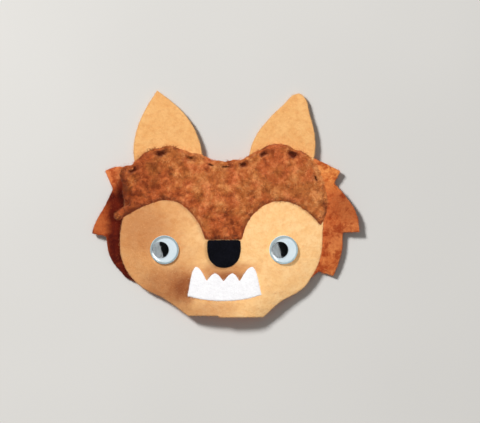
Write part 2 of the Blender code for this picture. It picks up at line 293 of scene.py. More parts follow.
class Nodes:
    """A material's node tree with short calls for the nodes that the felts use."""

    def __init__(self, name):
        self.material = bpy.data.materials.new(name)
        self.material.use_nodes = True
        self.tree = self.material.node_tree
        self.shader = self.tree.nodes["Principled BSDF"]
        self.place = self.tree.nodes.new("ShaderNodeTexCoord").outputs["Object"]

    def link(self, source, target):
        self.tree.links.new(source, target)

    def feed(self, sockets, values):
        """Sets each socket to its value, or links it to another node's output."""
        for socket, value in zip(sockets, values):
            if isinstance(value, (int, float, tuple)):
                socket.default_value = value
            else:
                self.link(value, socket)

    def noise(self, size, detail=3.0, roughness=0.6, distortion=0.0, stretch=None, turn=0.0):
        """Noise with features of a size in metres, optionally drawn out along one direction."""
        node = self.tree.nodes.new("ShaderNodeTexNoise")
        set_inputs(node, {"Scale": 1 / size, "Detail": detail})
        set_inputs(node, {"Roughness": roughness, "Distortion": distortion})
        place = self.place
        if stretch:
            mapping = self.tree.nodes.new("ShaderNodeMapping")
            mapping.vector_type = "TEXTURE"
            set_inputs(mapping, {"Scale": (stretch, 1.0, 1.0), "Rotation": (0, 0, turn)})
            self.link(place, mapping.inputs["Vector"])
            place = mapping.outputs["Vector"]
        self.link(place, node.inputs["Vector"])
        return node.outputs["Fac"]

    def spread(self, value, low, high, to_low=0.0, to_high=1.0):
        node = self.tree.nodes.new("ShaderNodeMapRange")
        node.interpolation_type = "SMOOTHSTEP"
        set_inputs(node, {"From Min": low, "From Max": high, "To Min": to_low, "To Max": to_high})
        self.link(value, node.inputs["Value"])
        return node.outputs["Result"]

    def math(self, operation, first, second):
        node = self.tree.nodes.new("ShaderNodeMath")
        node.operation = operation
        self.feed(node.inputs, (first, second))
        return node.outputs["Value"]

    def mix(self, factor, first, second, blend="MIX"):
        node = self.tree.nodes.new("ShaderNodeMix")
        node.data_type = "RGBA"
        node.blend_type = blend
        node.clamp_factor = True
        self.feed([node.inputs[i] for i in MIX_INPUTS], (factor, first, second))
        return node.outputs[MIX_OUTPUT]

    def tinted(self, factor, colour, tint):
        """The colour, multiplied by a tint where the factor is 1."""
        return self.mix(factor, colour, self.mix(1.0, colour, tint, "MULTIPLY"))

    def axis(self, letter):
        node = self.tree.nodes.new("ShaderNodeSeparateXYZ")
        self.link(self.place, node.inputs["Vector"])
        return node.outputs[letter]

    def attribute(self, name):
        node = self.tree.nodes.new("ShaderNodeAttribute")
        node.attribute_name = name
        return node.outputs["Fac"]

    def bump(self, height, distance, strength):
        node = self.tree.nodes.new("ShaderNodeBump")
        set_inputs(node, {"Strength": strength, "Distance": distance})
        self.link(height, node.inputs["Height"])
        self.link(node.outputs["Normal"], self.shader.inputs["Normal"])

    def fibres(self, size):
        """Matted fibres: thin streaks in three directions, laid over each other."""
        streaks = [self.noise(size, 2.0, 0.6, 0.5, FIBRE_STRETCH, turn) for turn in FIBRE_TURNS]
        return self.math("MAXIMUM", self.math("MAXIMUM", streaks[0], streaks[1]), streaks[2])


def felt_material(
    name, dark, middle, light, mottling=0.35, mottle_size=FELT_MOTTLE, sheen=0.1, shade=None
):
    """Pressed felt: blotches, mottling, specks and matted fibres, with a rough relief."""
    nodes = Nodes(name)
    blotches = nodes.spread(nodes.noise(FELT_BLOTCH, 3.0, 0.6), 0.30, 0.70)
    mottle = nodes.spread(nodes.noise(mottle_size, 3.0, 0.6, 0.2), 0.30, 0.70)
    specks = nodes.spread(nodes.noise(FELT_SPECK, 4.0, 0.7, 0.4), 0.32, 0.68)
    streaks = nodes.fibres(FELT_FIBRE)
    colour = nodes.mix(nodes.math("MULTIPLY", blotches, 0.5), middle, light)
    mottled = nodes.math("MULTIPLY", nodes.spread(mottle, 0.6, 0.0), mottling)
    colour = nodes.mix(mottled, colour, dark)
    darker = nodes.math("MULTIPLY", nodes.spread(specks, 0.55, 0.0), 0.3)
    colour = nodes.mix(darker, colour, dark)
    lighter = nodes.math("MULTIPLY", nodes.spread(streaks, 0.56, 0.76), 0.4)
    colour = nodes.mix(lighter, colour, light)
    if shade:
        colour = shade(nodes, colour)
    nodes.link(colour, nodes.shader.inputs["Base Color"])
    nodes.link(nodes.spread(specks, 0.0, 1.0, 0.86, 1.0), nodes.shader.inputs["Roughness"])
    streak_height = nodes.math("MULTIPLY", streaks, 0.7)
    height = nodes.math("ADD", streak_height, nodes.math("MULTIPLY", specks, 0.5))
    nodes.bump(height, FELT_RELIEF, 0.7)
    set_inputs(nodes.shader, {"Sheen Weight": sheen, "Sheen Roughness": 0.6})
    set_inputs(nodes.shader, {"Specular IOR Level": SOFT_SPECULAR})
    return nodes.material


def plain_fibre(name, colour):
    """One tone of loose fibre. The tones are mixed strand by strand."""
    material = bpy.data.materials.new(name)
    material.use_nodes = True
    shader = material.node_tree.nodes["Principled BSDF"]
    set_inputs(shader, {"Base Color": colour, "Roughness": 0.9})
    set_inputs(shader, {"Sheen Weight": 0.05, "Specular IOR Level": SOFT_SPECULAR})
    return material


def fibre_tones(kind):
    return [plain_fibre(f"{kind}_fibre_{i}", colour) for i, colour in enumerate(FIBRES[kind], 1)]


def near(nodes, x, y, reach_x, reach_y, wobble):
    """1 at a place on the felt, falling to 0 an oval reach away, with an uneven edge."""
    across = nodes.math("DIVIDE", nodes.math("SUBTRACT", nodes.axis("X"), x), reach_x)
    along = nodes.math("DIVIDE", nodes.math("SUBTRACT", nodes.axis("Y"), y), reach_y)
    across, along = nodes.math("MULTIPLY", across, across), nodes.math("MULTIPLY", along, along)
    distance = nodes.math("ADD", across, along)
    uneven = nodes.math("MULTIPLY", nodes.noise(TINT_WOBBLE_SIZE), wobble)
    distance = nodes.math("ADD", distance, uneven)
    return nodes.spread(distance, 1.0 + wobble / 2, wobble / 2)


def beyond(nodes, letter, start, full, wobble=0.0, size=1.0):
    """0 before a line across the head, rising to 1 where it is full, with an uneven edge."""
    place = nodes.axis(letter)
    if wobble:
        place = nodes.math("ADD", place, nodes.math("MULTIPLY", nodes.noise(size), wobble))
    return nodes.spread(place, start, full)


def tinted_places(nodes, colour, places):
    """The colour with each place's tint over the ones before it."""
    for tint, amount, *place in places:
        amount = nodes.math("MULTIPLY", near(nodes, *place), amount)
        colour = nodes.tinted(amount, colour, tint)
    return colour


def cheek_shade(nodes, colour):
    """Painted shade: the left cheek is browner, as the side turned from the light, most of all
    low down beside the teeth.

    Painted shadow darkens the felt between the teeth's points, below the nose and under the
    hair's lock.
    """
    colour = nodes.tinted(beyond(nodes, *CHEEK_SHADE_LINE), colour, PAINTED_SHADE_LEFT_CHEEK)
    return tinted_places(nodes, colour, CHEEK_SHADE_TINTS)


def hair_shade(nodes, colour):
    """Blotches of brown that follow the pile, with painted shade in the creases, the dimples
    and along the lower border.
    """
    grain = nodes.math("SUBTRACT", nodes.noise(GRAIN_SIZE, 3.0), 0.5)
    grain = nodes.math("MULTIPLY", grain, 0.5)
    tone = nodes.math("ADD", nodes.attribute("tone"), grain)
    blotch = nodes.mix(nodes.spread(tone, 0.0, 0.5), HAIR[0], HAIR[1])
    blotch = nodes.mix(nodes.spread(tone, 0.5, 1.0), blotch, HAIR[2])
    colour = nodes.mix(0.85, colour, blotch)
    redder = nodes.mix(1.0, colour, REDDER, "MULTIPLY")
    golden = nodes.mix(1.0, colour, GOLDEN, "MULTIPLY")
    colour = nodes.mix(nodes.attribute("warmth"), redder, golden)
    colour = nodes.tinted(nodes.attribute("crease"), colour, PAINTED_HAIR_SHADE)
    colour = nodes.tinted(nodes.attribute("border"), colour, PAINTED_HAIR_SHADE)
    pits = nodes.spread(nodes.attribute("pit"), 0.20, 0.85)
    return nodes.tinted(pits, colour, PAINTED_PIT_SHADE)


def mane_shade(nodes, colour):
    """The upper tufts are the palest, with painted light on the upper-left tuft's tip.

    The left tufts carry painted shade, and painted shadow darkens them most where they meet the
    face and under the hair's lock.
    """
    side = beyond(nodes, *MANE_SHADE_LINE)
    colour = tinted_places(nodes, nodes.tinted(side, colour, PAINTED_SHADE_LEFT_MANE), MANE_TINTS)
    deep = nodes.math("MULTIPLY", beyond(nodes, *MANE_SHADOW_INNER), side)
    deep = nodes.math("MULTIPLY", deep, beyond(nodes, *MANE_SHADOW_LOW))
    return nodes.tinted(deep, colour, PAINTED_SHADOW_MANE)


def gloss_plastic(name, low, high, roughness, size, shine=0.5):
    """Moulded plastic with a faint unevenness in its colour and gloss."""
    nodes = Nodes(name)
    cloud = nodes.noise(size, 2.0)
    nodes.link(nodes.mix(nodes.spread(cloud, 0.3, 0.7), low, high), nodes.shader.inputs["Base Color"])
    gloss = nodes.spread(nodes.noise(size / 5, 3.0), 0.3, 0.7, roughness, roughness * 1.6)
    nodes.link(gloss, nodes.shader.inputs["Roughness"])
    nodes.shader.inputs["Specular IOR Level"].default_value = shine
    return nodes.material


def clear_cover_material(name, tint, shadow):
    """Thin clear plastic: see-through, with a reflection on the side that light enters by.

    It bends light aside where it is thick, so its shadow is darker than it looks itself.
    """
    material = bpy.data.materials.new(name)
    material.use_nodes = True
    tree = material.node_tree
    tree.nodes.remove(tree.nodes["Principled BSDF"])
    new, link = tree.nodes.new, tree.links.new
    clear = new("ShaderNodeBsdfTransparent")
    path = new("ShaderNodeLightPath")
    through = new("ShaderNodeMix")
    through.data_type = "RGBA"
    factor, lit, shaded = (through.inputs[i] for i in MIX_INPUTS)
    lit.default_value = tint
    shaded.default_value = (shadow, shadow, shadow, 1.0)
    link(path.outputs["Is Shadow Ray"], factor)
    link(through.outputs[MIX_OUTPUT], clear.inputs["Color"])
    gloss = new("ShaderNodeBsdfGlossy")
    set_inputs(gloss, {"Roughness": COVER_ROUGHNESS})
    facing = new("ShaderNodeFresnel")
    set_inputs(facing, {"IOR": COVER_IOR})
    leaving = new("ShaderNodeNewGeometry").outputs["Backfacing"]
    entering = new("ShaderNodeMath")
    entering.operation = "SUBTRACT"
    entering.inputs[0].default_value = 1.0
    link(leaving, entering.inputs[1])
    share = new("ShaderNodeMath")
    share.operation = "MULTIPLY"
    link(facing.outputs["Fac"], share.inputs[0])
    link(entering.outputs["Value"], share.inputs[1])
    blend = new("ShaderNodeMixShader")
    link(share.outputs["Value"], blend.inputs["Fac"])
    link(clear.outputs["BSDF"], blend.inputs[1])
    link(gloss.outputs["BSDF"], blend.inputs[2])
    link(blend.outputs["Shader"], tree.nodes["Material Output"].inputs["Surface"])
    return material


def times(red, green, blue):
    """A tint that multiplies a colour by these percentages."""
    return tuple(0.01 * v for v in (red, green, blue, 100))


# Each felt's dark, middle and light tone
TAN = (srgb(230, 168, 104), srgb(247, 196, 132), srgb(254, 216, 160))
EAR = (srgb(209, 141, 80), srgb(227, 169, 104), srgb(239, 191, 128))
BROWN = (srgb(146, 52, 16), srgb(184, 90, 42), srgb(222, 138, 78))
HAIR = (srgb(128, 58, 22), srgb(188, 104, 52), srgb(226, 148, 90))
BLACK = (srgb(4, 4, 8), srgb(8, 9, 14), srgb(20, 20, 30))
WHITE = (srgb(236, 234, 237), srgb(246, 245, 247), srgb(251, 251, 252))
THREAD = (srgb(40, 16, 8), srgb(64, 27, 12), srgb(92, 42, 20))

# Tones of the loose fibres. The hair has one set where it is redder and one where golden.
FIBRES = {
    "tan": (srgb(232, 174, 106), srgb(254, 214, 152)),
    "cheek": (srgb(222, 156, 98), srgb(250, 204, 142)),
    "brown": (srgb(160, 66, 26), srgb(220, 124, 66)),
    "black": (srgb(6, 6, 10), srgb(28, 28, 38)),
    "white": (srgb(251, 251, 252), srgb(240, 239, 242)),
    "red_hair": (srgb(127, 54, 22), srgb(178, 87, 44), srgb(208, 115, 62), srgb(234, 148, 94)),
    "gold_hair": (srgb(126, 62, 25), srgb(176, 99, 49), srgb(206, 130, 69), srgb(232, 165, 103)),
}

# Tints of painted shade and shadow on the face: the left cheek's browner side, a browner shade, a
# deeper one round the teeth's points, and the crevice under the hair's lock
PAINTED_SHADE_LEFT_CHEEK = times(74, 58, 50)
PAINTED_SHADE_BROWN = times(66, 50, 44)
PAINTED_SHADOW_BROWN = times(48, 32, 28)
PAINTED_SHADOW_UNDER_LOCK = times(30, 12, 8)
REDDER = times(102, 86, 84)
GOLDEN = times(101, 111, 103)
# Painted shade: the hair is darker in its creases and along its lower border, and darker still in its
# dimples
PAINTED_HAIR_SHADE = times(50, 38, 32)
PAINTED_PIT_SHADE = times(24, 14, 14)
RIGHT_MANE = times(70, 60, 56)
# Painted shade of the mane's left side, and painted shadow on it beside the face and under the hair's
# lock
PAINTED_SHADE_LEFT_MANE = times(80, 66, 60)
PAINTED_SHADOW_MANE = times(27, 10, 8)
PALE_TUFT = times(135, 185, 185)
# Painted light: the upper-left tuft's tip is paler, as where light catches it
PAINTED_LIGHT_LEFT_TUFT = times(165, 225, 290)

# Lines past which a tint is laid: across which axis, where it starts and is full, and how
# far and how finely its edge wavers
# Past these lines the face's and the mane's left sides darken as painted shade, and the mane's low
# inner strip darkens as painted shadow
CHEEK_SHADE_LINE = ("X", 0.018, -0.030, 0.026, 14 * MM)
MANE_SHADE_LINE = ("X", -0.040, -0.060)
MANE_SHADOW_INNER = ("X", -0.074, -0.067, 0.006, 5 * MM)
MANE_SHADOW_LOW = ("Y", 0.012, 0.004)

# Tints near a place: the tint, its amount, the place's x and y, its reach across and along,
# and how uneven its edge is
TINT_WOBBLE_SIZE = 6 * MM
# Painted shade on the left lobe, the lower left cheek and the chin, and painted shadow round the
# teeth's points and under the hair's lock
CHEEK_SHADE_TINTS = (
    (PAINTED_SHADE_BROWN, 0.52, -0.051, -0.016, 0.022, 0.020, 0.6),
    (PAINTED_SHADE_BROWN, 0.70, -0.037, -0.051, 0.018, 0.014, 0.5),
    (PAINTED_SHADE_BROWN, 0.80, -0.026, -0.052, 0.013, 0.018, 0.9),
    (PAINTED_SHADE_BROWN, 1.00, -0.0245, -0.053, 0.008, 0.012, 0.9),
    # Painted shadow round the teeth's points, just below the nose
    (PAINTED_SHADE_BROWN, 0.95, 0.002, -0.042, 0.024, 0.0080, 0.7),
    (PAINTED_SHADOW_BROWN, 0.95, 0.0015, -0.0470, 0.017, 0.0058, 0.4),
    (PAINTED_SHADE_BROWN, 0.60, -0.006, -0.067, 0.020, 0.008, 0.7),
    # Painted shadow in the crevice under the hair's lock
    (PAINTED_SHADOW_UNDER_LOCK, 1.0, -0.0608, 0.0005, 0.0060, 0.0042, 0.2),
)
MANE_TINTS = (
    (PALE_TUFT, 1.0, 0.066, 0.018, 0.015, 0.013, 0.3),
    (PALE_TUFT, 0.3, 0.069, -0.036, 0.010, 0.012, 0.3),
    # Painted light on the upper-left tuft's tip
    (PAINTED_LIGHT_LEFT_TUFT, 1.0, -0.070, 0.018, 0.011, 0.012, 0.3),
    (RIGHT_MANE, 0.8, 0.078, -0.002, 0.014, 0.012, 0.5),
    # Painted shadow in the crevice under the hair's lock
    (PAINTED_SHADOW_MANE, 1.0, -0.0645, 0.009, 0.0040, 0.010, 0.3),
)

# Places where the hair is lighter or darker, and more golden or redder: x, y, reach, change.
# The darkest tone place, beside the lock, is painted shadow in the crevice there.
TONE_PLACES = (
    (0.002, -0.017, 0.016, -0.20), (0.036, 0.020, 0.016, -0.08),
    (0.058, 0.004, 0.014, 0.05), (-0.0630, 0.009, 0.0045, -0.5),
)
WARM_PLACES = (
    (-0.060, 0.002, 0.010, -0.6), (-0.058, 0.022, 0.007, -0.5),
    (-0.035, 0.004, 0.016, -0.5), (0.004, -0.020, 0.016, -0.4), (0.034, 0.026, 0.012, -0.3),
    (-0.030, 0.022, 0.016, 0.4), (0.020, 0.002, 0.015, 0.2), (0.055, 0.008, 0.018, 0.45),
)

MATERIALS = {
    "face": felt_material("tan_felt_face", *TAN, shade=cheek_shade),
    "ear": felt_material("tan_felt_ear", *EAR),
    "mane": felt_material("brown_felt_mane", *BROWN, 0.9, MANE_MOTTLE, shade=mane_shade),
    "hair": felt_material("brown_felt_hair", *HAIR, shade=hair_shade),
    "nose": felt_material("black_felt_nose", *BLACK, sheen=0.02),
    "teeth": felt_material("white_felt_teeth", *WHITE),
    "thread": felt_material("brown_thread", *THREAD, sheen=0.0),
    "white": gloss_plastic(
        "white_plastic", srgb(226, 242, 250), srgb(236, 248, 254), roughness=0.30, size=6 * MM
    ),
    "black": gloss_plastic(
        "black_plastic", srgb(1, 3, 4), srgb(5, 8, 9), roughness=0.07, size=4 * MM, shine=0.1
    ),
    "clear": clear_cover_material("clear_plastic", (0.992, 0.998, 1.0, 1.0), shadow=0.80),
    "rim": clear_cover_material("clear_plastic_rim", (0.94, 0.99, 0.995, 1.0), shadow=0.0),
}


# -------- felt sheets


def remeshed(node, voxel, steps):
    """The CAD solid's mesh made of even small faces, with its cut edges softened."""
    mesh = NODES[node].data.copy()
    work = bmesh.new()
    work.from_mesh(mesh)
    bmesh.ops.remove_doubles(work, verts=work.verts, dist=WELD)
    work.to_mesh(mesh)
    work.free()
    source = bpy.data.objects.new("source_" + node, mesh)
    bpy.context.scene.collection.objects.link(source)
    fine = source.modifiers.new("Fine", "REMESH")
    fine.mode = "VOXEL"
    fine.voxel_size = voxel
    soften = source.modifiers.new("Soften", "SMOOTH")
    soften.factor = 0.5
    soften.iterations = steps
    graph = bpy.context.evaluated_depsgraph_get()
    result = bpy.data.meshes.new_from_object(source.evaluated_get(graph), depsgraph=graph)
    bpy.data.objects.remove(source)
    result.shade_smooth()
    outward = normals_of(result)
    outward[:, 2] = 0
    set_points(result, points_of(result) + outward * EDGE_SPREAD)
    return result


def roughen(mesh, node, wave=WAVE_DEPTH, lump=LUMP_DEPTH):
    """Slow waves across the whole sheet, and small lumps on its faces."""
    seed = ROUGH_SEED[node]
    points = points_of(mesh)
    normals = normals_of(mesh)
    points[:, 2] += wave * lumps(points * LEVEL, WAVE_SIZE, seed)
    points += normals * (lump * lumps(points, LUMP_SIZE, seed + 1))[:, None]
    set_points(mesh, points)


def dress(mesh, material):
    mesh.materials.clear()
    mesh.materials.append(material)


def make_back():
    mesh = remeshed("back_of_head", SHEET_VOXEL, SHEET_SOFTENING)
    roughen(mesh, "back_of_head", lump=MANE_LUMP_DEPTH)
    points = points_of(mesh)
    low, high = (Vector(corner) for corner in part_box("face"))
    past = np.maximum(points[:, 0] - high.x, low.x - points[:, 0]) / MANE_REACH
    curl = 1 + MANE_CURL * lumps(points * LEVEL, MANE_CURL_SIZE, MANE_CURL_SEED)
    points[:, 2] += MANE_LIFT * smooth(past) * curl
    points[:, 2] = np.maximum(points[:, 2], 0.0)
    set_points(mesh, points)
    dress(mesh, MATERIALS["mane"])
    return add_piece("mane_felt", mesh, HEAD, ["back_of_head"])


def make_ear(node):
    mesh = remeshed(node, SHEET_VOXEL, SHEET_SOFTENING)
    roughen(mesh, node)
    points = points_of(mesh)
    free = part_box("hair")[1].y
    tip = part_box(node)[1].y
    past = np.clip((points[:, 1] - free) / (tip - free), 0, 1)
    points[:, 2] -= EAR_DROOP * past**2
    set_points(mesh, points)
    dress(mesh, MATERIALS["ear"])
    return add_piece(f"{node}_felt", mesh, HEAD, [node])


def make_face():
    mesh = remeshed("face", SHEET_VOXEL, FACE_SOFTENING)
    roughen(mesh, "face", wave=FACE_WAVE_DEPTH)
    dress(mesh, MATERIALS["face"])
    return add_piece("face_felt", mesh, HEAD, ["face"])


def make_trim(node):
    mesh = remeshed(node, TRIM_VOXEL, SHEET_SOFTENING)
    roughen(mesh, node, wave=0.0, lump=TRIM_LUMP_DEPTH)
    dress(mesh, MATERIALS[node])
    return add_piece(f"{node}_felt", mesh, HEAD, [node])


# -------- seam and hair


def stitch_places():
    """Each stitch's middle, direction, half length and bottom from the CAD, and its pull."""
    places = []
    for name, pull in zip(STITCHES, STITCH_PULL):
        points = points_of(NODES[name].data)
        middle = (points.max(0) + points.min(0)) / 2
        flat = points[:, :2] - points[:, :2].mean(0)
        along = np.linalg.svd(flat, full_matrices=False)[2][0]
        reach = np.abs(flat @ along).max()
        places.append((name, middle, along, reach, points[:, 2].min(), pull))
    return places


def seam_pull(points, places):
    """How deep each point lies in a stitch's dimple, from 0 to 1, with uneven outlines."""
    amount = np.zeros(len(points))
    warp = [lumps(points * LEVEL, DIMPLE_WARP_SIZE, seed) for seed in DIMPLE_SEEDS]
    warp = DIMPLE_WARP * np.stack(warp, axis=1)
    for _, middle, along, reach, _, pull in places:
        offset = points[:, :2] + warp - middle[:2]
        lengthwise = np.maximum(np.abs(offset @ along) - reach * DIMPLE_RUN * pull, 0.0)
        across = offset @ np.array((-along[1], along[0]))
        radius = DIMPLE_RADIUS * (0.6 + 0.4 * pull)
        amount = np.maximum(amount, pull * np.exp(-(lengthwise**2 + across**2) / radius**2))
    return np.minimum(amount, 1.0)


def drawn_in(points, places):
    """The hair's top edge drawn in towards each stitch, which leaves it scalloped."""
    moved = points.copy()
    for _, middle, along, _, _, pull in places:
        inward = np.array((along[1], -along[0]))
        inward *= -1 if inward[1] > 0 else 1
        offset = points[:, :2] - middle[:2]
        outside = smooth(-(offset @ inward) / PULL_RADIUS)
        beside = np.exp(-((offset @ along) ** 2) / (0.6 * PULL_RADIUS) ** 2)
        amount = pull * PULL_DEPTH * outside * beside
        amount *= np.abs(offset @ inward) < 3 * PULL_RADIUS
        moved[:, :2] += amount[:, None] * inward
    return moved


def tuft_height(points, size, seed):
    """Rounded tufts of about one size, from 0 in the creases between them to 1 on top."""
    shift = Vector((seed * 3.7, seed * 1.3, seed * 2.1))
    height = np.empty(len(points))
    for i, point in enumerate(points):
        closest, second = noise.voronoi(Vector(point / size) + shift)[0][:2]
        height[i] = second - closest
    return smooth(height * 1.4)


def hair_tone(points):
    """How light the hair is at each point, from 0 to 1: woolly blotches over broad patches,
    with painted shade that darkens its left side and the crevice beside the lock.
    """
    blotches = lumps(points, BLOTCH_SIZE, BLOTCH_SEED)
    curls = lumps(points, CURL_SIZE, CURL_TONE_SEED)
    tone = 0.60 + 0.50 * blotches + 0.40 * curls
    # Painted shade: the hair's left side is darker, as the side turned from the light
    tone -= 0.30 * smooth((-0.020 - points[:, 0]) / 0.030)
    for *place, change in TONE_PLACES:
        tone += change * fall_off(points, *place)
    return np.clip(tone, 0.0, 1.0)


def hair_warmth(points):
    """How golden the hair is at each point, from 0 where it is redder to 1."""
    warmth = 0.5 + 1.0 * lumps(points, WARMTH_SIZE, WARMTH_SEED)
    for *place, change in WARM_PLACES:
        warmth += change * fall_off(points, *place)
    return np.clip(warmth, 0.0, 1.0)


def border_distance(points, normals, lower_only):
    """Each point's distance across the sheet to its cut border, or to the border's lower side."""
    rim = np.abs(normals[:, 2]) < 0.35
    if lower_only:
        rim &= normals[:, 1] < -0.2
    tree = tree_of(points[rim] * LEVEL)
    return np.array([tree.find(point)[2] for point in points * LEVEL])


def underside(points, normals):
    """The height of the sheet's underside beneath each point."""
    below = points[normals[:, 2] < -0.6]
    tree = tree_of(below * LEVEL)
    return below[[tree.find(point)[1] for point in points * LEVEL], 2]


def make_hair(places):
    """The hair's felt, with its tufts, its rounded border and a dimple at each stitch."""
    mesh = remeshed("hair", HAIR_VOXEL, HAIR_SOFTENING)
    points = points_of(mesh)
    normals = normals_of(mesh)
    upper = smooth((normals[:, 2] + 0.35) / 0.8)
    warp = [lumps(points, TUFT_WARP_SIZE, seed) for seed in TUFT_WARP_SEEDS]
    tufts = tuft_height(points + TUFT_WARP * np.stack(warp, axis=1), TUFT_SIZE, TUFT_SEED)
    curls = 0.5 + 0.5 * lumps(points, CURL_SIZE, CURL_SEED)
    pit = seam_pull(points, places)
    border = 1 - smooth(border_distance(points, normals, False) / BORDER_REACH)
    painted_border_shade = 1 - smooth(border_distance(points, normals, True) / BORDER_SHADE_REACH)
    # The crease, border and pit values darken the hair's colour as painted shade in its creases, along
    # its lower border and in its dimples
    looks = {
        "pit": pit * upper,
        "tone": hair_tone(points),
        "warmth": hair_warmth(points),
        "border": painted_border_shade * 0.8,
        "crease": 0.45 * (1 - smooth(tufts * 0.8 + curls * 0.5)),
    }
    rise = (TUFT_DEPTH * (tufts - 0.6) + CURL_DEPTH * (curls - 0.5)) * (1 - 0.6 * pit)
    lowest = underside(points, normals) + DIMPLE_FLOOR
    points += normals * (upper * rise)[:, None]
    drop = (DIMPLE_DEPTH * pit + BORDER_DROP * border) * upper
    high = points[:, 2]
    dropped = np.maximum(high - drop, np.minimum(lowest, high))
    points[:, 2] = np.where(drop > 0, dropped, high)
    set_points(mesh, drawn_in(points, places))
    for name, values in looks.items():
        layer = mesh.attributes.new(name, "FLOAT", "POINT")
        layer.data.foreach_set("value", values.astype(np.float32))
    dress(mesh, MATERIALS["hair"])
    return add_piece("hair_felt", mesh, HEAD, ["hair"])


def make_stitch(place, hair):
    """Two plies of thread twisted round each other, in a loop from the dimple through the felt."""
    name, middle, along, reach, low, _ = place
    points = points_of(hair.data)
    close = np.hypot(*(points[:, :2] - middle[:2]).T) < STITCH_SPOT
    high = points[close & (normals_of(hair.data)[:, 2] > 0.3), 2].mean() + 2 * PLY_RADIUS
    half_height = (high - low) / 2 - PLY_RADIUS - PLY_OFFSET
    half_length = reach - PLY_RADIUS - PLY_OFFSET
    centre = Vector((middle[0], middle[1], (high + low) / 2))
    side = Vector((along[0], along[1], 0))
    across = side.cross(Vector((0, 0, 1)))
    verts = []
    faces = []
    for ply in (0, 1):
        start = len(verts)
        for i in range(PLY_STEPS):
            turn = 2 * math.pi * i / PLY_STEPS
            c, s = math.cos(turn), math.sin(turn)
            x = math.copysign(abs(c) ** LOOP_SQUARENESS, c) * half_length
            z = math.copysign(abs(s) ** LOOP_SQUARENESS, s) * half_height
            outward = (side * c + Vector((0, 0, s))).normalized()
            twist = THREAD_TURNS * turn + ply * math.pi
            spot = centre + side * x + Vector((0, 0, z))
            spot += (outward * math.cos(twist) + across * math.sin(twist)) * PLY_OFFSET
            for k in range(PLY_SIDES):
                angle = 2 * math.pi * k / PLY_SIDES
                verts.append(spot + (outward * math.cos(angle) + across * math.sin(angle)) * PLY_RADIUS)
        for i in range(PLY_STEPS):
            ring = start + i * PLY_SIDES
            after = start + (i + 1) % PLY_STEPS * PLY_SIDES
            for k in range(PLY_SIDES):
                m = (k + 1) % PLY_SIDES
                faces.append((ring + k, ring + m, after + m, after + k))
    mesh = bpy.data.meshes.new(name + "_thread")
    mesh.from_pydata(verts, [], faces)
    work = bmesh.new()
    work.from_mesh(mesh)
    bmesh.ops.recalc_face_normals(work, faces=work.faces)
    work.to_mesh(mesh)
    work.free()
    mesh.shade_smooth()
    dress(mesh, MATERIALS["thread"])
    add_piece(name + "_thread", mesh, HEAD, [name])


# -------- loose fibres


def roots_on(piece, count, rng, edge_share):
    """Random points and normals on a piece's top, with a share of them on its cut edges."""
    mesh = piece.data
    mesh.calc_loop_triangles()
    points = points_of(mesh)
    normals = normals_of(mesh)
    index = np.empty(len(mesh.loop_triangles) * 3, np.int32)
    mesh.loop_triangles.foreach_get("vertices", index)
    index = index.reshape(-1, 3)
    a, b, c = (points[index[:, k]] for k in range(3))
    cross = np.cross(b - a, c - a)
    area = np.linalg.norm(cross, axis=1)
    upward = cross[:, 2] / np.maximum(area, 1e-12)
    wall = np.abs(upward) < WALL_TILT
    face = upward >= WALL_TILT
    chance = np.zeros(len(area))
    chance[wall] = area[wall] / area[wall].sum() * edge_share
    chance[face] = area[face] / area[face].sum() * (1 - edge_share)
    pick = rng.choice(len(area), count, p=chance / chance.sum())
    u, v = rng.random((2, count, 1))
    u, v = np.where(u + v > 1, 1 - u, u), np.where(u + v > 1, 1 - v, v)
    root = a[pick] + u * (b[pick] - a[pick]) + v * (c[pick] - a[pick])
    normal = normals[index[pick]].mean(axis=1)
    return root, normal / np.linalg.norm(normal, axis=1)[:, None]


def strands(name, root, lean, normal, length, lift, bend, radius, tone, materials):
    """One closed tapered three-sided fibre per root, bent in a smooth curve."""
    count = len(root)
    side = np.cross(lean, normal)
    side /= np.maximum(np.linalg.norm(side, axis=1), 1e-9)[:, None]
    tip = STRAND_RINGS * 3
    stride = tip + 1
    verts = np.empty((count, stride, 3))
    for k in range(STRAND_RINGS + 1):
        t = k / STRAND_RINGS
        centre = root - normal * ROOT_DEPTH
        centre = centre + lean * (length * t)[:, None]
        centre = centre + normal * (lift * math.sin(t * math.pi * 0.75))[:, None]
        centre = centre + side * (bend * math.sin(t * math.pi))[:, None]
        if k == STRAND_RINGS:
            verts[:, -1] = centre
            continue
        size = (radius * (1 - STRAND_TAPER * t))[:, None]
        for corner in range(3):
            angle = 2 * math.pi * corner / 3
            toward = side * math.cos(angle) + normal * math.sin(angle)
            verts[:, k * 3 + corner] = centre + size * toward
    pattern = [(2, 1, 0)]
    for low in range(0, tip - 3, 3):
        for corner in range(3):
            after = (corner + 1) % 3
            pattern.append((low + corner, low + after, low + 3 + after, low + 3 + corner))
    last = tip - 3
    pattern += [(last + corner, last + (corner + 1) % 3, tip) for corner in range(3)]
    faces = [tuple(i * stride + v for v in face) for i in range(count) for face in pattern]
    mesh = bpy.data.meshes.new(name)
    mesh.from_pydata(verts.reshape(-1, 3).tolist(), [], faces)
    for material in materials:
        mesh.materials.append(material)
    index = np.repeat(tone, len(pattern)).astype(np.int32)
    mesh.polygons.foreach_set("material_index", index)
    mesh.shade_smooth()
    return mesh


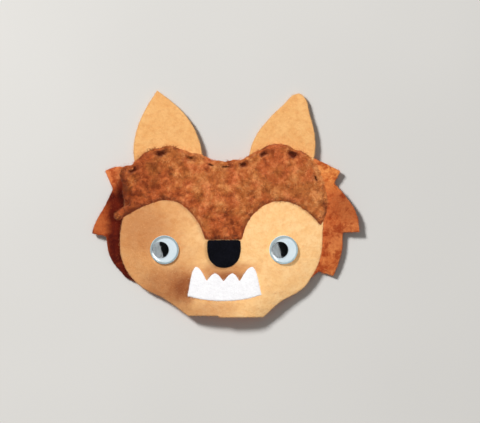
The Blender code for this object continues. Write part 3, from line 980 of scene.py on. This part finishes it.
def add_fuzz(piece, tones):
    """The short loose fibres that stand off pressed felt, most thickly along its cut edges."""
    count, seed, edge_share = FUZZ[piece.name]
    rng = np.random.default_rng(seed)
    root, normal = roots_on(piece, count, rng, edge_share)
    random = rng.normal(size=(count, 3))
    lean = random - normal * (random * normal).sum(1)[:, None] * 0.75
    lean += normal * 0.35
    lean[:, 2] = np.where(root[:, 2] < FUZZ_FLOOR, np.abs(lean[:, 2]), lean[:, 2])
    lean /= np.linalg.norm(lean, axis=1)[:, None]
    length = rng.uniform(*FUZZ_LENGTH, count)
    lift = length * rng.uniform(0.0, 0.25, count)
    bend = length * rng.uniform(-0.3, 0.3, count)
    radius = np.full(count, FUZZ_RADIUS)
    tone = rng.integers(0, len(tones), count)
    name = piece.name + "_fuzz"
    mesh = strands(name, root, lean, normal, length, lift, bend, radius, tone, tones)
    return add_piece(name, mesh, HEAD)


def border_at(piece, root):
    """How close each root is to the lower border, from the mesh's own measure where it stands."""
    mesh = piece.data
    tree = tree_of(points_of(mesh))
    border = np.empty(len(mesh.vertices), np.float32)
    mesh.attributes["border"].data.foreach_get("value", border)
    return border[[tree.find(spot)[1] for spot in root]]


def add_pile(piece, red_tones, golden_tones, places):
    """Brushed pile lying over the hair in small clumps that share a direction."""
    rng = np.random.default_rng(SEED)
    root, normal = roots_on(piece, PILE_COUNT, rng, PILE_ON_EDGES)
    pit = seam_pull(root, places)
    border = border_at(piece, root)
    keep = rng.random(PILE_COUNT) > np.maximum(pit * 1.2, border * 0.7)
    root, normal, pit, border = root[keep], normal[keep], pit[keep], border[keep]
    count = len(root)
    clumps = root[rng.choice(count, CLUMP_COUNT, replace=False)]
    tree = tree_of(clumps)
    member = np.array([tree.find(spot)[1] for spot in root])
    heading = 2.4 * lumps(clumps * LEVEL, HEADING_SIZE, HEADING_SEED)
    heading = heading + rng.normal(0, 1.2, CLUMP_COUNT) - math.pi / 2
    angle = heading[member] + rng.normal(0, 0.5, count)
    lean = np.stack([np.cos(angle), np.sin(angle), np.zeros(count)], axis=1)
    lean -= normal * (lean * normal).sum(1)[:, None] * 0.9
    lean += normal * 0.10
    lean /= np.linalg.norm(lean, axis=1)[:, None]
    length = rng.uniform(*PILE_LENGTH, count) * (1 - 0.5 * pit) * (1 - 0.5 * border)
    # The strands' tones carry the hair's painted shade: its darker left side and crevice, and its
    # darker lower border
    lightness = hair_tone(root) + rng.normal(0, 0.12, CLUMP_COUNT)[member]
    lightness = lightness + rng.normal(0, 0.12, count) - 0.3 * border
    steps = len(red_tones)
    tone = np.clip(lightness * steps, 0, steps - 1).astype(int)
    warmth_spread = np.random.default_rng(SEED + 1).normal(0, 0.15, count)
    tone += steps * (hair_warmth(root) + warmth_spread > 0.5)
    lift = length * rng.uniform(0.08, 0.30, count)
    bend = length * rng.uniform(-0.45, 0.45, count)
    radius = PILE_RADIUS * rng.uniform(0.6, 1.2, count)
    tones = red_tones + golden_tones
    mesh = strands("hair_pile", root, lean, normal, length, lift, bend, radius, tone, tones)
    return add_piece("hair_pile", mesh, HEAD)


# -------- craft eyes


def eye_frame(side):
    """The eye's place and axis from its pupil's joint, as a matrix with the axis as its Z."""
    joint = next(j for j in frame["joints"] if j["name"] == f"pupil_{side}_roll")
    up = Vector(joint["axis"]).normalized()
    across = Vector((1, 0, -up.x / up.z)).normalized()
    turn = Matrix((across, up.cross(across), up)).transposed().to_4x4()
    return Matrix.Translation(Vector(joint["pos_m"])) @ turn


def local_points(node, place):
    """The points of a CAD solid along and round the eye's axis."""
    to_eye = place.inverted()
    return np.array([to_eye @ v.co for v in NODES[node].data.vertices])


def turned(name, profile):
    """A closed mesh turned from a half section of (radius, height) points."""
    mesh = bpy.data.meshes.new(name)
    work = bmesh.new()
    line = [work.verts.new((radius, 0, height)) for radius, height in profile]
    edges = [work.edges.new(pair) for pair in zip(line, line[1:])]
    bmesh.ops.spin(
        work, geom=line + edges, cent=(0, 0, 0), axis=(0, 0, 1),
        angle=2 * math.pi, steps=TURN_STEPS, use_merge=True,
    )
    bmesh.ops.remove_doubles(work, verts=work.verts, dist=0.001 * MM)
    bmesh.ops.recalc_face_normals(work, faces=work.faces)
    work.to_mesh(mesh)
    work.free()
    mesh.shade_smooth()
    mesh.set_sharp_from_angle(angle=math.radians(SHARP_EDGE))
    return mesh


def round_edge(radius, low, high, bevel, rise=0.0):
    """Half section of a disc with rounded edges, whose top swells by a rise towards its middle."""
    rim = radius - bevel
    steps = TOP_STEPS
    profile = [(rim * i / steps, high - rise * (i / steps) ** 2) for i in range(steps)]
    for corner, start in (((rim, high - rise - bevel), 90), ((rim, low + bevel), 0)):
        for i in range(CORNER_STEPS + 1):
            angle = math.radians(start - 90 * i / CORNER_STEPS)
            profile.append((corner[0] + bevel * math.cos(angle), corner[1] + bevel * math.sin(angle)))
    return profile + [(0.0, low)]


def cover_profile(radius, low, top):
    """Half section of the clear cover: a thin dome on a flat flange that is open below."""
    inner = radius - COVER_FLANGE
    outer = inner + COVER_WALL
    ball = (outer**2 + COVER_RISE**2) / (2 * COVER_RISE)

    def arc(ball, reach, crown, upward):
        swing = np.linspace(0, math.asin(reach / ball), COVER_STEPS)
        points = [(ball * math.sin(a), crown - ball + ball * math.cos(a)) for a in swing]
        return points[::-1] if upward else points

    outside = arc(ball, outer, top, False)
    inside = arc(ball - COVER_WALL, inner, top - COVER_WALL, True)
    flange = [
        (outer, low + 0.75 * MM), (outer + 0.12 * MM, low + 0.62 * MM),
        (radius - 0.15 * MM, low + 0.6 * MM), (radius, low + 0.45 * MM),
        (radius, low + 0.1 * MM), (radius - 0.1 * MM, low), (inner, low),
    ]
    return outside + flange + inside, outer


def make_eye(side):
    """A white backing, a loose black pupil on its own body, and a clear domed cover."""
    place = eye_frame(side)
    backing = local_points(f"eye_{side}_backing", place)
    cover = local_points(f"eye_{side}_cover", place)
    pupil = local_points(f"eye_{side}_pupil", place)
    radius = np.hypot(backing[:, 0], backing[:, 1]).max()

    outline = round_edge(radius, backing[:, 2].min(), backing[:, 2].max(), BACKING_BEVEL)
    mesh = turned(f"eye_{side}_back", outline)
    mesh.transform(place)
    dress(mesh, MATERIALS["white"])
    add_piece(f"eye_{side}_back", mesh, HEAD, [f"eye_{side}_backing"])

    middle = (pupil.max(0) + pupil.min(0)) / 2
    size = (pupil[:, 1].max() - pupil[:, 1].min()) / 2
    outline = round_edge(size, pupil[:, 2].min(), pupil[:, 2].max(), PUPIL_BEVEL, PUPIL_RISE)
    disc = turned(f"eye_{side}_disc", outline)
    disc.transform(Matrix.Translation((middle[0], middle[1], 0)))
    disc.transform(place)
    dress(disc, MATERIALS["black"])
    add_piece(f"eye_{side}_disc", disc, f"pupil_{side}", [f"eye_{side}_pupil"])

    outline, outer = cover_profile(radius, cover[:, 2].min(), cover[:, 2].max())
    dome = turned(f"eye_{side}_dome", outline)
    dome.transform(place)
    dress(dome, MATERIALS["clear"])
    dome.materials.append(MATERIALS["rim"])
    to_eye = place.inverted()
    for face in dome.polygons:
        face.material_index = int(math.hypot(*(to_eye @ face.center).xy) > outer - RIM_START)
    add_piece(f"eye_{side}_dome", dome, HEAD, [f"eye_{side}_cover"])


# -------- stage


def make_stage():
    half = FLOOR_HALF
    corners = [(-half, -half, 0), (half, -half, 0), (half, half, 0), (-half, half, 0)]
    mesh = bpy.data.meshes.new("floor")
    mesh.from_pydata(corners, [], [(0, 1, 2, 3)])
    nodes = Nodes("pale_floor")
    cloud = nodes.spread(nodes.noise(FLOOR_CLOUD, 2.0), 0.3, 0.7)
    colour = nodes.mix(cloud, srgb(228, 226, 222), srgb(232, 230, 226))
    nodes.link(colour, nodes.shader.inputs["Base Color"])
    nodes.shader.inputs["Roughness"].default_value = 0.9
    mesh.materials.append(nodes.material)
    floor = bpy.data.objects.new("floor", mesh)
    floor.location.z = -FLOOR_DROP
    bpy.context.scene.collection.objects.link(floor)


def add_area(name, spot, aim, size, power, colour=(1, 1, 1)):
    data = bpy.data.lights.new(name, "AREA")
    data.shape = "RECTANGLE"
    data.size, data.size_y = size
    data.energy = power
    data.color = colour
    light = bpy.data.objects.new(name, data)
    light.location = spot
    light.rotation_mode = "QUATERNION"
    light.rotation_quaternion = (Vector(aim) - Vector(spot)).to_track_quat("-Z", "Y")
    light.visible_camera = False
    bpy.context.scene.collection.objects.link(light)
    return light


def limit(light, names, included, blockers=False):
    """Lets a light fall on (or be blocked by) only these objects, or only the others."""
    group = bpy.data.collections.new(light.name + ("_blockers" if blockers else "_receivers"))
    role = "blocker_collection" if blockers else "receiver_collection"
    setattr(light.light_linking, role, group)
    for name in names:
        group.objects.link(bpy.data.objects[name])
    for item in group.collection_objects:
        item.light_linking.link_state = "INCLUDE" if included else "EXCLUDE"


def mirrored_panel(name, side, polar, azimuth, slant, size, radiance, receiver, colour=(1, 1, 1)):
    """A panel that only one piece of a craft eye reflects.

    It stands polar degrees from the direction in which the eye's middle mirrors the camera,
    on the azimuth's side of it. The slant turns it in its own plane, and size gives its
    half angles across and along.
    """
    place = eye_frame(side)
    up = place.to_3x3().col[2]
    mirror = (2 * up.z * up - Vector((0, 0, 1))).normalized()
    across = Vector((0, 1, 0)).cross(mirror).normalized()
    from_mirror = Matrix((across, mirror.cross(across), mirror)).transposed()
    a, b = math.radians(polar), math.radians(azimuth)
    toward = Vector((math.sin(a) * math.cos(b), math.sin(a) * math.sin(b), math.cos(a)))
    toward = from_mirror @ toward
    tangent = from_mirror @ Vector((-math.sin(b), math.cos(b), 0))
    spot = place.translation + toward * PANEL_REACH
    width, length = (2 * PANEL_REACH * math.tan(math.radians(half)) for half in size)
    power = radiance * math.pi * width * length
    panel = add_area(name, spot, place.translation, (length, width), power, colour)
    turn = Matrix((tangent, toward.cross(tangent), toward)).transposed()
    turn = turn @ Matrix.Rotation(math.radians(slant), 3, "Z")
    panel.rotation_quaternion = turn.to_quaternion()
    panel.visible_diffuse = False
    limit(panel, [receiver], True)


def make_lights():
    """A key from the upper right, a fill from the upper left, and panels that show in the eyes.

    The eyes block the fill alone, and nothing else blocks it. The floor has its own light.
    """
    eyes = [f"eye_{side}_{piece}" for side in SIDES for piece in ("back", "disc", "dome")]
    key = add_area("key_right", aim=LIGHT_AIM, **KEY)
    limit(key, ["floor"], False)
    limit(key, eyes, False, blockers=True)
    fill = add_area("fill_left", aim=LIGHT_AIM, **FILL)
    limit(fill, ["floor"], False)
    limit(fill, eyes, True, blockers=True)
    under = add_area("floor_left", aim=LIGHT_AIM, **FLOOR_LIGHT)
    limit(under, ["floor"], True)
    for light in (key, fill, under):
        light.visible_glossy = False
    for side in SIDES:
        mirrored_panel(f"window_{side}", side, receiver=f"eye_{side}_disc", **WINDOW)
        mirrored_panel(f"glint_{side}", side, receiver=f"eye_{side}_dome", **GLINT)
    world = bpy.data.worlds.new("studio")
    world.use_nodes = True
    background = world.node_tree.nodes["Background"]
    set_inputs(background, {"Color": WORLD_COLOUR, "Strength": WORLD_STRENGTH})
    bpy.context.scene.world = world
    bpy.context.scene.view_settings.view_transform = "Standard"


def make_camera():
    data = bpy.data.cameras.new("camera")
    data.sensor_width = SENSOR
    data.lens = SENSOR * (VIEW_HEIGHT - VIEW_PLANE) / VIEW_WIDTH
    camera = bpy.data.objects.new("camera", data)
    camera.location = (*VIEW_CENTRE, VIEW_HEIGHT)
    bpy.context.scene.collection.objects.link(camera)
    bpy.context.scene.camera = camera


# -------- build


def build():
    make_camera()
    make_stage()
    places = stitch_places()
    tones = {kind: fibre_tones(kind) for kind in FIBRES}

    back = make_back()
    add_fuzz(back, tones["brown"])
    for node in ("ear_left", "ear_right"):
        ear = make_ear(node)
        add_fuzz(ear, tones["tan"])
    face = make_face()
    add_fuzz(face, tones["cheek"])
    hair = make_hair(places)
    pile = add_pile(hair, tones["red_hair"], tones["gold_hair"], places)
    nose = make_trim("nose")
    add_fuzz(nose, tones["black"])
    teeth = make_trim("teeth")
    add_fuzz(teeth, tones["white"])
    for place in places:
        make_stitch(place, hair)
    for side in SIDES:
        make_eye(side)
    make_lights()


build()
